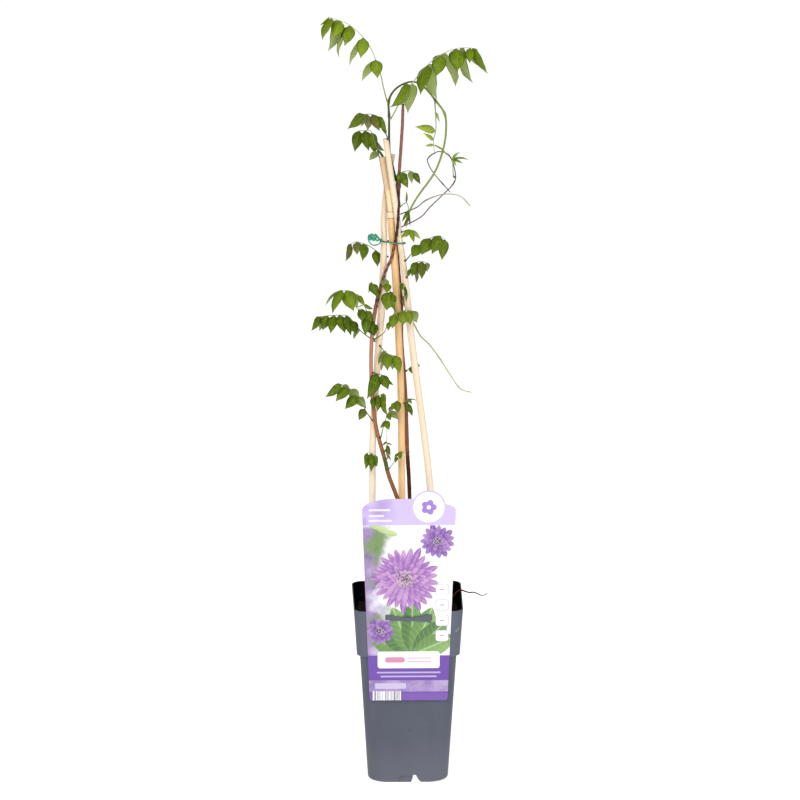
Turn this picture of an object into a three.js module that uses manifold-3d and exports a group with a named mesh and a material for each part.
// A young wisteria on three canes in a deep square nursery pot.
// Millimetres, +Z up. The origin is on the floor, on the pot's axis; the label hangs on the -Y side.

import * as THREE from "three";
import { mergeVertices } from "three/addons/utils/BufferGeometryUtils.js";
import Module from "manifold-3d";

const wasm = await Module();
wasm.setup();

// ---------------------------------------------------------------- driving dimensions

const CLEARANCE = 0.3;
const CORNER_STEPS = 4;

const POT = {
  rimHeight: 199,        // front edge of the rim
  rimRise: 6.5,          // how much higher the back edge is
  baseHalf: 44.5,        // half width of the body, carried down to the floor
  taper: 0.0603,         // growth of the half width per mm of height
  collarFoot: 147,       // underside of the collar
  collarFootHalf: 56.8,
  collarTopHalf: 60,
  wall: 1.8,
  baseTop: 10,           // upper face of the base plate
  baseUnder: 8,          // lower face of the base plate
  footHalf: 36,          // inner edge of the foot rim
  ribWidth: 3,
  padHalf: 10,           // square pad under the middle of the base
  drainRadius: 4,
  drainOffset: 22,
  fillet: 7,             // height of the rounded edge round the foot
  corners: { floor: 13, foot: 18, waist: 13, collar: 11, rim: 8 },
};

const COLLAR_SLOPE = (POT.collarTopHalf - POT.collarFootHalf) / (POT.rimHeight - POT.collarFoot);

const SOIL = { top: 184, relief: 2.2, rings: 5, seed: 11 };

const LABEL = {
  bottom: 97.5, bottomHalf: 43, bottomRadius: 3.5,
  shoulder: 314, shoulderHalf: 51.2, top: 326.5,
  tabX: 21.6, tabZ: 317, tabRadius: 19,
  thickness: 0.8,
};

const STRAP = { left: -25, right: 24.5, z: 192.5, height: 4.6, post: 3.6, thickness: 1.6, sag: 1.1 };

const TIE = { height: 597, band: 1.1, strand: 0.75 };

const FINISH = {
  pot: { color: 0x696d7a, roughness: 0.55 },
  soil: { color: 0x2a211c, roughness: 1 },
  caneCream: { color: 0xf3dcba, roughness: 0.6 },
  caneGold: { color: 0xdfb681, roughness: 0.5 },
  tie: { color: 0x2e8f72, roughness: 0.45 },
  label: { color: 0xc9b8ea, roughness: 0.35 },
  bark: { color: 0x4a2b28, roughness: 0.85 },
  twine: { color: 0xa56c56, roughness: 0.8 },
  greenStem: { color: 0x6b8039, roughness: 0.5 },
  whip: { color: 0x6e6a58, roughness: 0.6 },
  root: { color: 0x5c3320, roughness: 0.9 },
  young: { color: 0x6f9a26, roughness: 0.5 },
  mature: { color: 0x47701f, roughness: 0.5 },
};

// Stems and canes: centre-line points from the foot up, and the radius at the foot and at the tip.
const STEMS = {
  cane_left: {
    finish: "caneCream", radii: [4.1, 3.2], sides: 10, steps: 12, nodes: [300, 505],
    points: [[-43, -17, 110], [-45, -15, 179], [-39, -9, 330], [-38, -6, 391], [-32, -1, 480],
      [-28, 2, 531], [-25, 4, 597], [-19, 10, 655], [-16, 15, 694]],
  },
  cane_middle: {
    finish: "caneGold", radii: [4, 3.2], sides: 10, steps: 12, nodes: [395, 623],
    points: [[-3, 11, 110], [-4, 10, 173], [-6, 5, 314], [-7, 2, 423], [-9, 2, 479],
      [-14, -1, 568], [-18, -2, 609], [-22, -1, 655], [-28, 0, 692]],
  },
  cane_right: {
    finish: "caneCream", radii: [4.1, 3.1], sides: 10, steps: 12, nodes: [445, 655],
    points: [[41, -24, 110], [38, -22, 180], [25, -15, 326], [17, -12, 392], [5, -9, 481],
      [-3, -6, 569], [-7, -6, 599], [-12, -7, 638], [-19, -9, 679], [-24, -10, 713]],
  },
  stem_trunk: {
    finish: "bark", radii: [2.4, 1.3], sides: 6, steps: 32, nodes: [667],
    points: [[4, 22, 150], [3, 21, 200], [2, 19, 311], [0, 17, 365], [-2, 14, 421], [-3, 12, 455],
      [-5, 5, 534], [-7, 3, 567], [-10, 0, 596], [-10, 0, 634], [-10, -1, 663], [-9, -2, 678],
      [-6, -3, 722], [-5, -3, 750]],
  },
  stem_twining: {
    finish: "twine", radii: [2.6, 1.4], sides: 6, steps: 40, nodes: [],
    points: [[-3, -8, 150], [-2, -6, 200], [-4, -4, 290], [-12, -4, 316], [-21, -6, 341],
      [-25, -8, 358], [-34, -12, 392], [-38, -12, 420], [-40, -11, 448], [-40, -9, 481],
      [-38, -7, 508], [-34, -5, 536], [-27, -4, 563], [-19, -8, 582], [-16, -8, 594], [-13.2, -4.9, 606]],
  },
  vine_arch: {
    finish: "greenStem", radii: [1, 0.8], sides: 5, steps: 40, nodes: [],
    points: [[-12, 2, 667], [-15, 2, 677], [-19, 3, 694], [-20, 3, 710], [-20, 3, 734],
      [-20, 3, 754], [-11, 6, 767], [5, 10, 773], [18, 13, 767], [31, 14, 752], [41, 13, 737],
      [42, 10, 717], [38, 6, 696], [29, 1, 674], [12, -6, 651], [4, -8, 638], [-1, -9, 626]],
  },
  whip_loop: {
    finish: "whip", radii: [0.7, 0.5], sides: 4, steps: 34, nodes: [],
    points: [[2, 4, 614], [14, 8, 625], [25, 12, 636], [38, 16, 648], [51, 21, 661], [53, 25, 672],
      [47, 30, 690], [35, 31, 695], [24, 29, 689], [23, 27, 683], [30, 25, 671], [48, 28, 650]],
  },
  whip_arc: {
    finish: "whip", radii: [0.7, 0.5], sides: 4, steps: 18, nodes: [],
    points: [[3, 1, 630], [10, 0, 637], [20, -3, 645], [38, -9, 652], [56, -15, 651], [68, -19, 640]],
  },
  runner: {
    finish: "greenStem", radii: [0.9, 0.6], sides: 4, steps: 22, nodes: [],
    points: [[4, 0, 516], [14, 6, 495], [24, 13, 484], [36, 21, 467], [47, 28, 449], [58, 35, 432],
      [66, 39, 427], [73, 43, 425]],
  },
  root: {
    finish: "root", radii: [0.9, 0.45], sides: 4, steps: 18, nodes: [],
    points: [[39, -3, 172], [42, 0, 184], [45, 4, 193], [50, 8, 200], [54, 12, 205],
      [60, 16, 206.5], [67, 18, 204], [74, 19, 202], [84, 20, 198], [91, 20, 201]],
  },
};

const NODE_REACH = 14;   // how far a node's swelling reaches up and down the stem

// Stems that grow out of another one: their first point is set just off its bark.
const GROWS_ON = {
  vine_arch: "stem_trunk", whip_loop: "stem_trunk", whip_arc: "stem_trunk", runner: "cane_right",
};

// Stems and canes that stand in the soil.
const STANDING = ["cane_left", "cane_middle", "cane_right", "stem_trunk", "stem_twining", "root"];

// Fronds: the stem each one grows on, the centre line of its stalk, and its leaflets as
// [place along the stalk 0..1, length, lean from straight down towards +X in degrees,
//  side (-1 front, 1 back, 0 in line), width seen from the front].
const FRONDS = [
  { name: "crown_left", on: "vine_arch", tone: "young",
    rachis: [[-22, 1, 755], [-27, -6, 771], [-33, -16, 796], [-41, -24, 812], [-57, -35, 832],
      [-73, -44, 841], [-85, -50, 847]],
    leaflets: [[0.37, 21, 3, -1, 11], [0.37, 32, -32, 1, 11], [0.61, 24, -11, -1, 10], [0.61, 40, -28, 1, 11],
      [0.77, 24, -17, -1, 10], [0.77, 44, -23, 1, 11], [0.88, 22, -27, -1, 9], [0.88, 41, -24, 1, 11],
      [0.96, 31, -25, 1, 9], [0.99, 15, -50, 0, 4]] },
  { name: "crown_right", on: "vine_arch", tone: "young",
    rachis: [[-17, 1, 737], [-8, -5, 751], [-3, -7, 762], [6, -6, 774], [16, 1, 786], [28, 11, 796],
      [42, 24, 805], [58, 36, 807], [74, 46, 807]],
    leaflets: [[0.29, 31, -42, -1, 13], [0.29, 34, 2, 1, 13], [0.55, 36, -17, -1, 14], [0.55, 46, 19, 1, 14],
      [0.72, 30, -20, -1, 12], [0.73, 53, 24, 1, 15], [0.85, 27, 6, -1, 13], [0.86, 51, 24, 1, 14],
      [0.97, 19, 1, -1, 9], [0.98, 30, 26, 1, 10], [1.00, 34, 29, 0, 12]] },
  { name: "vine_shoot", on: "vine_arch", tone: "young",
    rachis: [[32, 12, 752], [32, 8, 740], [32, 4, 726], [30, 1, 710], [29, 0, 705], [30, -1, 692]],
    leaflets: [[0.46, 30, -94, -1, 12], [0.59, 14, -103, 1, 7], [0.70, 21, -127, -1, 7],
      [0.77, 12, -75, -1, 7], [0.77, 27, 41, -1, 9], [0.32, 13, 16, 1, 3]] },
  { name: "shoot_star", on: "whip_loop", tone: "young",
    rachis: [[52, 24, 668], [50, 17, 679], [49, 13, 690]],
    leaflets: [[0.95, 19, 87, 0, 3], [0.95, 15, 68, -1, 3], [0.95, 14, 29, 1, 3], [1.00, 13, 123, 1, 3]] },
  { name: "upper_left", on: "cane_right", tone: "mature",
    rachis: [[-22, -13, 719], [-25, -17, 723], [-30, -23, 733], [-40, -29, 740], [-46, -32, 739],
      [-54, -35, 742]],
    leaflets: [[0.35, 18, 38, -1, 10], [0.64, 24, 31, -1, 12], [0.77, 18, 11, -1, 9], [0.97, 20, -40, 0, 5],
      [0.83, 20, -18, 1, 4]] },
  { name: "mid_left", on: "cane_middle", tone: "mature",
    rachis: [[-29, 6, 688], [-31, 13, 694], [-34, 19, 700], [-38, 28, 709], [-44, 35, 716], [-49, 40, 717]],
    leaflets: [[0.38, 11, 51, -1, 7], [0.70, 22, 3, -1, 9], [0.84, 23, 6, -1, 10], [0.99, 27, -24, 1, 10],
      [0.28, 19, -39, -1, 5], [0.60, 19, 48, 1, 4]] },
  { name: "trunk_curl", on: "stem_trunk", tone: "mature",
    rachis: [[-8, -5, 674], [-4, -9, 677], [2, -11, 678], [7, -12, 676]],
    leaflets: [[0.16, 16, 23, -1, 5], [0.93, 14, -23, -1, 7], [1.00, 14, 23, 1, 5], [0.57, 17, 15, 0, 5]] },
  { name: "bud_cluster", on: "cane_right", tone: "mature",
    rachis: [[-7, -9, 639], [-3, -12, 643], [0, -14, 641], [1, -15, 633], [2, -15, 628]],
    leaflets: [[0.51, 18, -22, -1, 7], [0.81, 18, -14, 0, 8], [0.85, 17, 10, 1, 5], [0.23, 14, 171, 0, 3]] },
  { name: "olive_star", on: "cane_right", tone: "mature",
    rachis: [[-4, -10, 611], [0, -13, 614], [3, -16, 614]],
    leaflets: [[1.00, 18, -53, -1, 4], [1.00, 18, -24, -1, 4], [1.00, 16, 10, -1, 4], [1.00, 21, 43, 1, 4]] },
  { name: "tie_left", on: "cane_left", tone: "mature",
    rachis: [[-29, 6, 585], [-32, 13, 588], [-38, 20, 589], [-43, 26, 592], [-55, 36, 595], [-63, 41, 592]],
    leaflets: [[0.16, 20, 3, 1, 9], [0.48, 20, -7, 1, 7], [0.61, 23, -5, -1, 8], [0.79, 20, -23, 1, 9],
      [0.97, 24, -20, -1, 9]] },
  { name: "tie_right", on: "cane_right", tone: "mature",
    rachis: [[-4, -10, 578], [3, -17, 588], [13, -25, 599], [25, -33, 607], [42, -42, 607]],
    leaflets: [[0.44, 18, -37, -1, 9], [0.69, 23, -31, -1, 12], [0.87, 26, -25, 1, 10],
      [1.00, 26, -21, -1, 11], [0.99, 21, 19, 1, 8]] },
  { name: "right_low", on: "cane_right", tone: "mature",
    rachis: [[1, -10, 563], [6, -15, 572], [11, -20, 579], [15, -23, 581]],
    leaflets: [[0.67, 17, -33, -1, 8], [0.80, 22, -16, 1, 9], [0.95, 27, -9, -1, 9], [1.00, 16, 28, 0, 9],
      [0.32, 11, -44, -1, 4]] },
  { name: "crumple_left", on: "stem_twining", tone: "mature",
    rachis: [[-34, -9, 538], [-36, -12, 548], [-38, -14, 554], [-40, -15, 558]],
    leaflets: [[0.83, 13, -24, -1, 8], [0.68, 13, 25, -1, 7], [1.00, 9, -30, 0, 5]] },
  { name: "front_big", on: "stem_twining", tone: "young",
    rachis: [[-27, -9, 561], [-23, -16, 558], [-20, -20, 549], [-19, -21, 545]],
    leaflets: [[0.78, 25, -9, -1, 14], [0.95, 20, 24, -1, 10], [0.37, 24, -19, -1, 8],
      [0.56, 16, 15, 1, 8]] },
  { name: "mid_shade", on: "cane_right", tone: "mature",
    rachis: [[-2, -10, 546], [-3, -15, 552], [-6, -18, 556], [-10, -18, 555]],
    leaflets: [[0.80, 19, 7, -1, 8], [0.88, 17, -8, 1, 7], [0.49, 17, 16, -1, 7]] },
  { name: "upper_bright", on: "stem_twining", tone: "young",
    rachis: [[-41, -10, 512], [-48, -20, 529], [-56, -30, 545], [-63, -37, 550], [-73, -44, 551]],
    leaflets: [[1.00, 31, -46, 1, 9], [1.00, 29, -27, -1, 9], [0.92, 27, 26, -1, 14], [0.69, 24, 11, 1, 8],
      [0.64, 17, 37, -1, 9], [0.32, 12, 72, 1, 5], [0.37, 10, -32, -1, 5]] },
  { name: "left_dark", on: "stem_twining", tone: "mature",
    rachis: [[-41, -9, 499], [-46, -16, 507], [-48, -21, 514], [-47, -24, 521]],
    leaflets: [[0.96, 17, -33, -1, 8], [0.88, 20, 23, -1, 8], [0.52, 18, -22, -1, 10], [0.40, 16, 51, -1, 9],
      [1.00, 13, 52, 0, 7]] },
  { name: "left_spray", on: "cane_left", tone: "mature",
    rachis: [[-37, 5, 486], [-42, 9, 488], [-55, 18, 503], [-63, 25, 512], [-71, 31, 513], [-91, 43, 510],
      [-101, 48, 507]],
    leaflets: [[0.97, 17, -25, 0, 9], [0.85, 20, -24, -1, 9], [0.77, 25, 0, 1, 9], [0.65, 23, 13, -1, 10],
      [0.57, 30, 15, 1, 10], [0.44, 23, 0, -1, 11], [0.27, 17, 5, 1, 7]] },
  { name: "right_spray", on: "stem_twining", tone: "mature",
    rachis: [[-35, -12, 489], [-26, -17, 501], [-17, -19, 521], [-9, -20, 526], [-1, -20, 527],
      [10, -20, 520]],
    leaflets: [[0.41, 11, -1, -1, 7], [0.58, 19, -5, -1, 10], [0.69, 22, -13, 1, 9], [0.81, 18, -5, -1, 9],
      [0.91, 21, 19, 1, 7], [0.98, 14, -12, -1, 7], [0.11, 15, 20, -1, 5]] },
  { name: "mid_cluster", on: "cane_left", tone: "mature",
    rachis: [[-30, -6, 485], [-25, -14, 480], [-19, -18, 477], [-13, -18, 476]],
    leaflets: [[0.36, 29, -6, -1, 10], [0.53, 24, 10, 1, 9], [1.00, 18, -13, -1, 9], [1.00, 29, 14, 1, 9],
      [0.73, 15, 57, -1, 7]] },
  { name: "twig_right", on: "stem_trunk", tone: "mature",
    rachis: [[2, 8, 455], [5, 5, 461], [4, 2, 465]],
    leaflets: [[0.89, 16, -15, -1, 5], [0.75, 10, 31, 1, 4]] },
  { name: "centre_pair", on: "stem_twining", tone: "mature",
    rachis: [[-36, -12, 456], [-34, -16, 456], [-29, -18, 455], [-25, -18, 451]],
    leaflets: [[0.27, 39, -14, -1, 13], [0.63, 23, 27, 1, 9], [0.41, 21, -25, -1, 9], [1.00, 14, 51, 0, 3]] },
  { name: "low_left", on: "stem_twining", tone: "mature",
    rachis: [[-42, -8, 399], [-48, -17, 416], [-53, -24, 426], [-64, -36, 442], [-73, -45, 449]],
    leaflets: [[0.99, 22, -55, 0, 10], [0.81, 23, -51, -1, 10], [0.80, 18, 35, 1, 8], [0.60, 20, -43, -1, 10],
      [0.55, 20, 25, 1, 9], [0.30, 15, -32, -1, 7], [0.91, 18, -8, 1, 7]] },
  { name: "centre_low", on: "stem_twining", tone: "mature",
    rachis: [[-33, -14, 429], [-29, -17, 433], [-26, -18, 435]],
    leaflets: [[1.00, 22, 6, -1, 9], [0.69, 22, -11, -1, 8], [0.96, 14, 29, -1, 5], [0.42, 26, 5, -1, 7]] },
  { name: "twig_frond", on: "stem_twining", tone: "young",
    rachis: [[-29, -13, 385], [-26, -16, 400], [-22, -18, 412], [-16, -19, 423], [-11, -19, 427]],
    leaflets: [[0.41, 14, 31, -1, 8], [0.39, 13, -34, 1, 5], [0.69, 16, 39, -1, 9], [0.85, 19, -7, 1, 7],
      [0.97, 16, 28, -1, 9], [0.91, 12, 32, 1, 7]] },
  { name: "right_leaf", on: "cane_middle", tone: "mature",
    rachis: [[-2, -2, 420], [-1, -6, 425], [1, -8, 427]],
    leaflets: [[0.51, 20, 20, -1, 8], [0.90, 9, 71, 0, 4], [0.90, 8, 22, -1, 4]] },
  { name: "curl_shoot", on: "stem_twining", tone: "mature",
    rachis: [[-25, -13, 355], [-22, -16, 365], [-23, -17, 376], [-23, -16, 386], [-23, -14, 395]],
    leaflets: [[0.34, 9, -44, -1, 7], [0.45, 12, 26, -1, 7], [0.53, 11, -20, 1, 7], [0.56, 8, 33, 0, 5]] },
  { name: "cane_leaf", on: "stem_twining", tone: "young",
    rachis: [[-20, -12, 348], [-15, -13, 357], [-12, -11, 363], [-9, -11, 368]],
    leaflets: [[0.72, 7, -35, -1, 5], [0.93, 11, 28, -1, 7], [1.00, 6, -112, 1, 5], [1.00, 5, 63, 0, 4]] },
  { name: "lowest_left", on: "cane_left", tone: "mature",
    rachis: [[-32, -12, 354], [-34, -15, 363], [-42, -17, 368], [-45, -17, 368]],
    leaflets: [[0.89, 22, -2, -1, 10], [0.61, 18, 13, 1, 5], [1.00, 18, -8, 1, 7]] },
];

// A leaflet's half width along its length, as a share of its full half width.
const LEAF = {
  outline: [[0.12, 0.6], [0.38, 1], [0.72, 0.58]],
  smallOutline: [[0.3, 0.95], [0.7, 0.65]],
  smallLength: 15,       // shorter leaflets take the small outline
  slimness: 0.38,        // least width for its length
  thickness: 1.2,        // at the midrib
  rootThickness: 0.7,
  rootWidth: 0.16,       // share of the full width where the blade meets the stalk
  fold: 0.22,            // how far the edges rise above the midrib, by half width
  arch: 0.1,             // how far the tip curls under, by length
  swing: 32,             // degrees that a front or back leaflet swings out
  swingSpread: 8,
  turnSpread: 0.15,      // radians that a leaflet may turn about its own length
};
const STALK = { foot: 0.95, tip: 0.6, sides: 4, stepsPerPoint: 2 };

// ---------------------------------------------------------------- shape helpers

const group = new THREE.Group();

function vector([x, y, z]) {
  return new THREE.Vector3(x, y, z);
}

/** A repeatable source of numbers from 0 to 1. */
function dice(seed) {
  let state = seed;
  return () => {
    state = (Math.imul(state, 1664525) + 1013904223) >>> 0;
    return state / 4294967296;
  };
}

/** Closed body through rings of equal length, with a fan to a centre point at either end. */
function loft(rings, start, end) {
  const sides = rings[0].length;
  const points = rings.flat().concat([start, end]);
  const first = points.length - 2;
  const last = points.length - 1;
  const faces = [];
  for (let j = 0; j < sides; j += 1) {
    const k = (j + 1) % sides;
    faces.push(first, k, j);
    for (let i = 0; i < rings.length - 1; i += 1) {
      const low = i * sides;
      const high = low + sides;
      faces.push(low + j, low + k, high + k, low + j, high + k, high + j);
    }
    const top = (rings.length - 1) * sides;
    faces.push(last, top + j, top + k);
  }
  const geometry = new THREE.BufferGeometry().setFromPoints(points);
  geometry.setIndex(faces);
  return geometry;
}

/** Closed loft whose last ring joins its first, for a band round something. */
function ringLoft(rings) {
  const sides = rings[0].length;
  const faces = [];
  for (let i = 0; i < rings.length; i += 1) {
    const low = i * sides;
    const high = ((i + 1) % rings.length) * sides;
    for (let j = 0; j < sides; j += 1) {
      const k = (j + 1) % sides;
      faces.push(low + j, low + k, high + k, low + j, high + k, high + j);
    }
  }
  const geometry = new THREE.BufferGeometry().setFromPoints(rings.flat());
  geometry.setIndex(faces);
  return geometry;
}

function toSolid(geometry) {
  const bare = geometry.clone();
  bare.deleteAttribute("normal");
  bare.deleteAttribute("uv");
  const merged = mergeVertices(bare, 1e-4);
  return new wasm.Manifold(new wasm.Mesh({
    numProp: 3,
    vertProperties: new Float32Array(merged.attributes.position.array),
    triVerts: new Uint32Array(merged.index.array),
  }));
}

function toGeometry(solid) {
  const mesh = solid.getMesh();
  const geometry = new THREE.BufferGeometry();
  geometry.setAttribute("position", new THREE.BufferAttribute(new Float32Array(mesh.vertProperties), 3));
  geometry.setIndex(new THREE.BufferAttribute(new Uint32Array(mesh.triVerts), 1));
  return geometry;
}

function addPiece(name, geometry, finish) {
  const { color, roughness } = FINISH[finish];
  const mesh = new THREE.Mesh(geometry, new THREE.MeshStandardMaterial({ color, roughness, metalness: 0 }));
  mesh.name = name;
  group.add(mesh);
}

/** One ring of a square with rounded corners, seen from above, anticlockwise. */
function squareRing(half, radius, height, rise = 0) {
  const ring = [];
  for (let corner = 0; corner < 4; corner += 1) {
    for (let step = 0; step <= CORNER_STEPS; step += 1) {
      const angle = (corner + step / CORNER_STEPS) * Math.PI / 2;
      const [sx, sy] = [[1, 1], [-1, 1], [-1, -1], [1, -1]][corner];
      const x = sx * (half - radius) + radius * Math.cos(angle);
      const y = sy * (half - radius) + radius * Math.sin(angle);
      ring.push(new THREE.Vector3(x, y, height + rise * (y + half) / (2 * half)));
    }
  }
  return ring;
}

function squareLoft(levels) {
  const rings = levels.map(({ half, radius, z, rise }) => squareRing(half, radius, z, rise));
  const middle = ({ z, rise = 0 }) => new THREE.Vector3(0, 0, z + rise / 2);
  return loft(rings, middle(levels[0]), middle(levels[levels.length - 1]));
}

function box(x0, x1, y0, y1, z0, z1) {
  const geometry = new THREE.BoxGeometry(x1 - x0, y1 - y0, z1 - z0);
  return toSolid(geometry.translate((x0 + x1) / 2, (y0 + y1) / 2, (z0 + z1) / 2));
}

/** Tapered tube along a curve; widthAt gives the radius at each share of its length. */
function tube(curve, widthAt, sides, steps) {
  const frames = curve.computeFrenetFrames(steps, false);
  const rings = [];
  for (let i = 0; i <= steps; i += 1) {
    const centre = curve.getPointAt(i / steps);
    const radius = widthAt(i / steps, centre);
    const ring = [];
    for (let j = 0; j < sides; j += 1) {
      const angle = (j / sides) * Math.PI * 2;
      ring.push(centre.clone()
        .addScaledVector(frames.normals[i], radius * Math.cos(angle))
        .addScaledVector(frames.binormals[i], radius * Math.sin(angle)));
    }
    rings.push(ring);
  }
  return loft(rings, curve.getPointAt(0), curve.getPointAt(1));
}

function smoothCurve(points) {
  return new THREE.CatmullRomCurve3(points, false, "catmullrom", 0.5);
}

// ---------------------------------------------------------------- stems and canes

/** Radius of a stem at a share of its length, with a slight swelling at each of its nodes. */
function stemRadius({ radii: [foot, tip], nodes }) {
  return (share, point) => {
    const swelling = nodes.some((height) => Math.abs(point.z - height) < NODE_REACH) ? 1.06 : 1;
    return (foot + (tip - foot) * share) * swelling;
  };
}

const stems = {};

/** The point on a stem's bark, plus a clearance, that faces a given point. */
function pointOffBark(stemName, towards, fallback, ownRadius) {
  const { curve, radiusAt } = stems[stemName];
  let share = 0;
  let closest = Infinity;
  const samples = 400;
  for (let i = 0; i <= samples; i += 1) {
    const distance = curve.getPointAt(i / samples).distanceTo(towards);
    if (distance < closest) {
      closest = distance;
      share = i / samples;
    }
  }
  const centre = curve.getPointAt(share);
  const radius = radiusAt(share, centre);
  const along = curve.getTangentAt(share);
  const out = (closest > radius * 0.6 ? towards : fallback).clone().sub(centre);
  out.addScaledVector(along, -out.dot(along)).normalize();
  const start = centre.clone().addScaledVector(out, radius + CLEARANCE * 1.4);
  return [start, start.clone().addScaledVector(out, ownRadius * 2)];
}

function addStem(name) {
  const stem = STEMS[name];
  const points = stem.points.map(vector);
  if (GROWS_ON[name]) {
    const [start, lead] = pointOffBark(GROWS_ON[name], points[0], points[1], stem.radii[0]);
    points.splice(0, 1, start, lead);
  }
  const curve = smoothCurve(points);
  const radiusAt = stemRadius(stem);
  const geometry = tube(curve, radiusAt, stem.sides, stem.steps);
  stems[name] = { curve, radiusAt, stem };
  addPiece(name, geometry, stem.finish);
}

// ---------------------------------------------------------------- pot

/** Half width of the pot's body at a height. */
function bodyHalf(z) {
  return POT.baseHalf + POT.taper * z;
}

function potSolid() {
  const { wall, corners, fillet, baseTop, collarFoot, collarFootHalf, collarTopHalf, rimHeight } = POT;
  const rim = { z: rimHeight, rise: POT.rimRise };
  const outer = toSolid(squareLoft([
    { half: POT.baseHalf - fillet * 0.8, radius: corners.floor, z: 0 },
    { half: bodyHalf(fillet * 0.3) - fillet * 0.23, radius: corners.floor + 3, z: fillet * 0.3 },
    { half: bodyHalf(fillet), radius: corners.foot, z: fillet },
    { half: bodyHalf(collarFoot - 1), radius: corners.waist, z: collarFoot - 1 },
    { half: collarFootHalf, radius: corners.collar, z: collarFoot },
    { half: collarTopHalf, radius: corners.rim, ...rim },
  ]));
  const cavity = toSolid(squareLoft([
    { half: bodyHalf(baseTop) - wall, radius: corners.foot - wall, z: baseTop },
    { half: bodyHalf(collarFoot) - wall, radius: corners.waist - wall, z: collarFoot + 1 },
    { half: collarFootHalf - wall, radius: corners.collar - wall, z: collarFoot + 4 },
    { half: collarTopHalf - wall, radius: corners.rim - wall, ...rim },
    { half: collarTopHalf - wall, radius: corners.rim - wall, z: rimHeight + 20 },
  ]));
  return outer.subtract(cavity).subtract(footPockets()).subtract(drainHoles())
    .subtract(footNotches()).add(strapSolid());
}

/** The hollow under the base, left standing as a cross of ribs and a square pad in the middle. */
function footPockets() {
  const { footHalf, baseUnder, ribWidth, padHalf } = POT;
  const hollow = toSolid(squareLoft([
    { half: footHalf, radius: 10, z: -1 },
    { half: footHalf + 3, radius: 12, z: baseUnder },
  ]));
  const rib = ribWidth / 2;
  const reach = footHalf + 5;
  return hollow
    .subtract(box(-rib, rib, -reach, reach, -2, baseUnder + 1))
    .subtract(box(-reach, reach, -rib, rib, -2, baseUnder + 1))
    .subtract(box(-padHalf, padHalf, -padHalf, padHalf, -2, baseUnder + 1));
}

function drainHoles() {
  let holes = null;
  for (const [sx, sy] of [[1, 1], [-1, 1], [-1, -1], [1, -1]]) {
    const hole = new THREE.CylinderGeometry(POT.drainRadius, POT.drainRadius, 8, 10);
    hole.rotateX(Math.PI / 2).translate(sx * POT.drainOffset, sy * POT.drainOffset, POT.baseTop - 1);
    const solid = toSolid(hole);
    holes = holes ? holes.add(solid) : solid;
  }
  return holes;
}

/** The notch in the middle of each side of the foot: an open half with a sloped cheek, a shallow half. */
function footNotches() {
  const open = new THREE.Shape();
  open.moveTo(2.6, -1);
  open.lineTo(13.4, -1);
  open.quadraticCurveTo(11.5, 3, 8, 9.3);
  open.lineTo(4.2, 9.3);
  open.quadraticCurveTo(3, 9.2, 2.6, 7.6);
  open.closePath();
  const depth = 14;
  const cut = new THREE.ExtrudeGeometry(open, { depth, bevelEnabled: false, curveSegments: 3 });
  cut.rotateX(Math.PI / 2);
  const sideCut = toSolid(cut.translate(0, -POT.footHalf + 4, 0));
  const shallow = box(-10.5, 2.61, -POT.baseHalf - 2, -POT.baseHalf + 2.2, -1, 8.4);
  const one = sideCut.add(shallow);
  let all = one;
  for (let turn = 1; turn < 4; turn += 1) {
    all = all.add(one.rotate([0, 0, 90 * turn]));
  }
  return all;
}

/** Plane of the label's back: it leans with the collar's front wall. */
function labelBack(z) {
  return -(POT.collarFootHalf + COLLAR_SLOPE * (z - POT.collarFoot) + CLEARANCE);
}

/** The moulded strap in front of the label, with its two posts back to the collar. */
function strapSolid() {
  const { left, right, z, height, post, thickness, sag } = STRAP;
  const outline = new THREE.Shape();
  const half = height / 2;
  outline.moveTo(left, z + half + 1);
  outline.lineTo(left + post, z + half + 1);
  outline.bezierCurveTo(-12, z + half - sag, -4, z + half - 2 * sag, 4, z + half - 1.5 * sag);
  outline.bezierCurveTo(10, z + half - sag, 14, z + half + 0.6, right - post, z + half + 1.4);
  outline.lineTo(right, z + half + 1);
  outline.lineTo(right, z - half - 4);
  outline.lineTo(right - post, z - half - 2.4);
  outline.bezierCurveTo(12, z - half - 0.4, 6, z - half - sag, 0, z - half - sag);
  outline.bezierCurveTo(-8, z - half - sag, -14, z - half + 0.4, left + post, z - half - 0.4);
  outline.lineTo(left, z - half - 0.6);
  outline.closePath();
  const band = new THREE.ExtrudeGeometry(outline, {
    depth: thickness, bevelEnabled: false, curveSegments: 5,
  });
  const front = labelBack(z) - LABEL.thickness - CLEARANCE - 0.1;
  band.rotateX(Math.PI / 2).translate(0, front, 0);
  const deep = -POT.collarTopHalf + 1.2;
  return toSolid(band)
    .add(box(left, left + post, front - 0.5, deep, z - half + 0.2, z + half))
    .add(box(right - post, right, front - 0.5, deep, z - half, z + half));
}

// ---------------------------------------------------------------- soil

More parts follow.
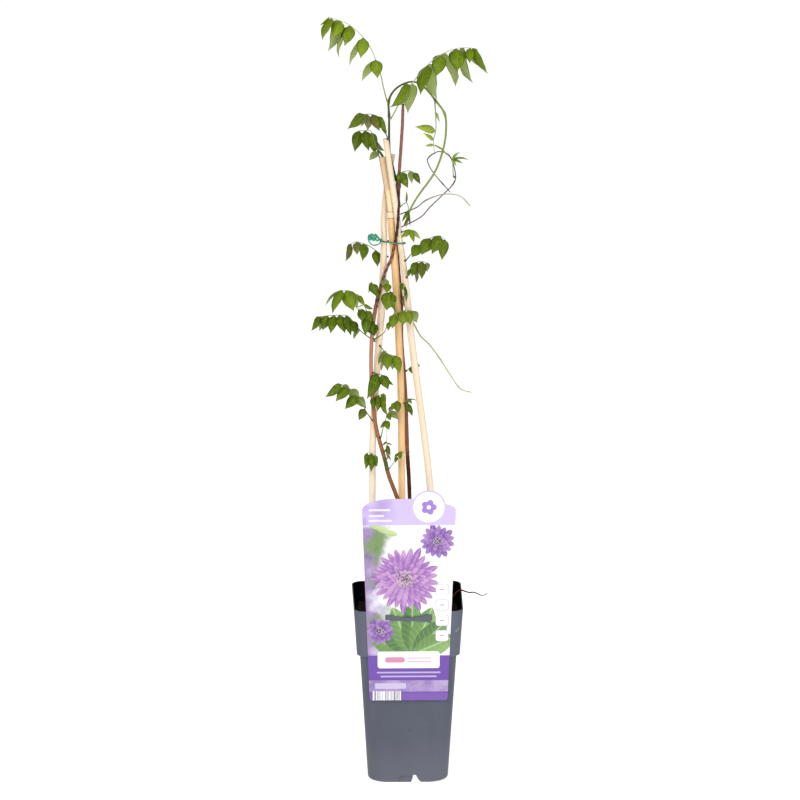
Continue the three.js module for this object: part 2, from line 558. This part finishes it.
function soilSolid() {
  const { wall, corners, baseTop, collarFoot, collarFootHalf } = POT;
  const inset = wall + CLEARANCE * 2;
  const topHalf = collarFootHalf + COLLAR_SLOPE * (SOIL.top - collarFoot) - inset - CLEARANCE;
  const rings = [
    [bodyHalf(baseTop) - inset, corners.foot - wall, baseTop + CLEARANCE],
    [bodyHalf(collarFoot) - inset, corners.waist - wall, collarFoot + 1],
    [collarFootHalf - inset, corners.collar - wall, collarFoot + 5],
    [topHalf, corners.rim, SOIL.top - 1],
  ].map(([half, radius, z]) => squareRing(half, radius, z));
  const toss = dice(SOIL.seed);
  for (let i = 1; i <= SOIL.rings; i += 1) {
    const share = 1 - i / (SOIL.rings + 1);
    const ring = squareRing(topHalf * share, corners.rim * share, SOIL.top);
    ring.forEach((point) => {
      point.z += (toss() - 0.5) * 2 * SOIL.relief;
    });
    rings.push(ring);
  }
  const floor = new THREE.Vector3(0, 0, baseTop + CLEARANCE);
  const body = toSolid(loft(rings, floor, new THREE.Vector3(0, 0, SOIL.top)));
  return STANDING.reduce((soil, name) => soil.subtract(stemHole(name)), body);
}

/** The plain hole that a stem stands in: its lowest stretch, a clearance wider. */
function stemHole(name) {
  const { curve, radiusAt, stem } = stems[name];
  const foot = curve.points.slice(0, 3).map((point) => point.clone());
  foot[0].addScaledVector(foot[1].clone().sub(foot[0]).normalize(), -CLEARANCE);
  const width = radiusAt(0, foot[0]) + CLEARANCE;
  return toSolid(tube(smoothCurve(foot), () => width, stem.sides, 6));
}

// ---------------------------------------------------------------- label

function labelSolid() {
  const { bottom, bottomHalf, bottomRadius, shoulder, shoulderHalf, top, thickness } = LABEL;
  const { tabX, tabZ, tabRadius } = LABEL;
  const outline = new THREE.Shape();
  outline.moveTo(-bottomHalf + bottomRadius, bottom);
  outline.lineTo(bottomHalf - bottomRadius, bottom);
  outline.quadraticCurveTo(bottomHalf, bottom, bottomHalf, bottom + bottomRadius);
  outline.lineTo(shoulderHalf, shoulder);
  outline.quadraticCurveTo(shoulderHalf - 1, shoulder + 4.5, tabX + 19.2, tabZ + 3.4);
  const leftAngle = Math.PI - Math.asin((top - tabZ) / tabRadius);
  outline.absarc(tabX, tabZ, tabRadius, Math.asin(3.4 / tabRadius), leftAngle, false);
  outline.lineTo(-17, top);
  outline.quadraticCurveTo(-46, top - 0.5, -shoulderHalf, shoulder + 1);
  outline.lineTo(-bottomHalf, bottom + bottomRadius);
  outline.quadraticCurveTo(-bottomHalf, bottom, -bottomHalf + bottomRadius, bottom);
  const card = new THREE.ExtrudeGeometry(outline, {
    depth: thickness, bevelEnabled: false, curveSegments: 8,
  });
  card.rotateX(Math.PI / 2);
  const place = card.attributes.position;
  for (let i = 0; i < place.count; i += 1) {
    place.setY(i, place.getY(i) + labelBack(place.getZ(i)));
  }
  const slack = 0.7;
  const half = STRAP.height / 2 + slack;
  const slot = (x0, x1) => box(x0 - slack, x1 + slack, -65, -55, STRAP.z - half, STRAP.z + half);
  return toSolid(card)
    .subtract(slot(STRAP.left, STRAP.left + STRAP.post))
    .subtract(slot(STRAP.right - STRAP.post, STRAP.right));
}

// ---------------------------------------------------------------- tie

/** Band of wire round the three canes, with its two twisted ends and a bow to the left. */
function tieSolid() {
  const route = [[-29.6, 4.2], [-28, 7.8], [-24.6, 8.9], [-20.4, 6.9], [-9.4, 2.9], [-3.2, -3], [-2.4, -6.5],
    [-4.2, -9.8], [-7.5, -10.7], [-15.2, -10.9], [-18.4, -9.2], [-28.4, 0.6]];
  const points = route.map(([x, y]) => new THREE.Vector3(x, y, TIE.height + (x + 17) * 0.04));
  const curve = new THREE.CatmullRomCurve3(points, true, "catmullrom", 0.5);
  const steps = 24;
  const rings = [];
  for (let i = 0; i < steps; i += 1) {
    const centre = curve.getPointAt(i / steps);
    const along = curve.getTangentAt(i / steps);
    const out = new THREE.Vector3(along.y, -along.x, 0).normalize();
    const up = new THREE.Vector3().crossVectors(along, out).normalize();
    const ring = [];
    for (let j = 0; j < 4; j += 1) {
      const angle = (j / 4) * Math.PI * 2;
      ring.push(centre.clone()
        .addScaledVector(out, 0.55 * Math.cos(angle))
        .addScaledVector(up, TIE.band * Math.sin(angle)));
    }
    rings.push(ring);
  }
  let solid = toSolid(ringLoft(rings));
  const ends = [
    [[-28.4, 0.6, 596.6], [-33, -4, 594.6], [-38, -6, 595.8], [-41, -6, 599], [-38.5, -5, 601.5],
      [-34, -4.2, 599.6], [-29.2, 2.4, 596.6]],
    [[-29.4, 1.6, 596.6], [-35, -5.5, 602.4], [-39, -7, 605], [-43.5, -7.5, 608]],
    [[-28, 0.2, 596.6], [-29, -5.5, 600.5], [-31, -7.5, 604.5], [-33, -8, 608.4]],
  ];
  for (const end of ends) {
    solid = solid.add(toSolid(tube(smoothCurve(end.map(vector)), () => TIE.strand, 4, 8)));
  }
  return solid;
}

// ---------------------------------------------------------------- fronds

/** One leaflet: a folded, arched blade with pointed ends, its root inside the stalk. */
function leaflet(root, along, upper, length, width) {
  const side = new THREE.Vector3().crossVectors(upper, along).normalize();
  const spine = (share) => root.clone()
    .addScaledVector(along, length * share)
    .addScaledVector(upper, -length * LEAF.arch * share * share);
  const stations = [[0, LEAF.rootWidth], ...(length < LEAF.smallLength ? LEAF.smallOutline : LEAF.outline)];
  const rings = stations.map(([share, spread]) => {
    const centre = spine(share);
    const half = width / 2 * spread;
    const rise = half * LEAF.fold;
    const depth = (share === 0 ? LEAF.rootThickness : LEAF.thickness) / 2;
    return [
      centre.clone().addScaledVector(side, half).addScaledVector(upper, rise),
      centre.clone().addScaledVector(upper, depth),
      centre.clone().addScaledVector(side, -half).addScaledVector(upper, rise),
      centre.clone().addScaledVector(upper, -depth),
    ];
  });
  return loft(rings, root.clone(), spine(1));
}

/** Directions of a leaflet from its lean, its side and the turn about its own length. */
function leafletFrame(lean, side, swing, turn) {
  const tilt = THREE.MathUtils.degToRad(lean);
  const out = THREE.MathUtils.degToRad(swing) * side;
  const along = new THREE.Vector3(
    Math.sin(tilt) * Math.cos(out), Math.sin(out), -Math.cos(tilt) * Math.cos(out));
  const facing = side === 0 ? new THREE.Vector3(0.2, -0.8, 0.5) : new THREE.Vector3(0, side, 0.35);
  const upper = facing.addScaledVector(along, -facing.dot(along)).normalize();
  upper.applyAxisAngle(along, turn);
  return { along, upper };
}

function addFrond({ name, on, tone, rachis, leaflets }, index) {
  const points = rachis.map(vector);
  points.splice(0, 1, ...pointOffBark(on, points[0], points[1], STALK.foot));
  const curve = smoothCurve(points);
  const steps = Math.max(4, STALK.stepsPerPoint * (rachis.length - 1));
  const stalkRadius = (share) => STALK.foot + (STALK.tip - STALK.foot) * share;
  let solid = toSolid(tube(curve, stalkRadius, STALK.sides, steps));
  const toss = dice(100 + index);
  for (const [place, length, lean, side, seen] of leaflets) {
    const width = Math.max(seen, length * LEAF.slimness);
    const edgeOn = Math.acos(Math.min(1, seen / width)) * (toss() < 0.5 ? -1 : 1);
    const turn = edgeOn + (toss() - 0.5) * 2 * LEAF.turnSpread;
    const swing = LEAF.swing + (toss() - 0.5) * 2 * LEAF.swingSpread;
    const { along, upper } = leafletFrame(lean, side, swing, turn);
    const root = curve.getPointAt(Math.min(place, 0.985));
    solid = solid.add(toSolid(leaflet(root, along, upper, length, width)));
  }
  addPiece(`frond_${name}`, toGeometry(solid), tone);
}

// ---------------------------------------------------------------- assembly

for (const name of Object.keys(STEMS)) {
  addStem(name);
}
addPiece("pot", toGeometry(potSolid()), "pot");
addPiece("soil", toGeometry(soilSolid()), "soil");
addPiece("label", toGeometry(labelSolid()), "label");
addPiece("tie", toGeometry(tieSolid()), "tie");
FRONDS.forEach(addFrond);

export default group;
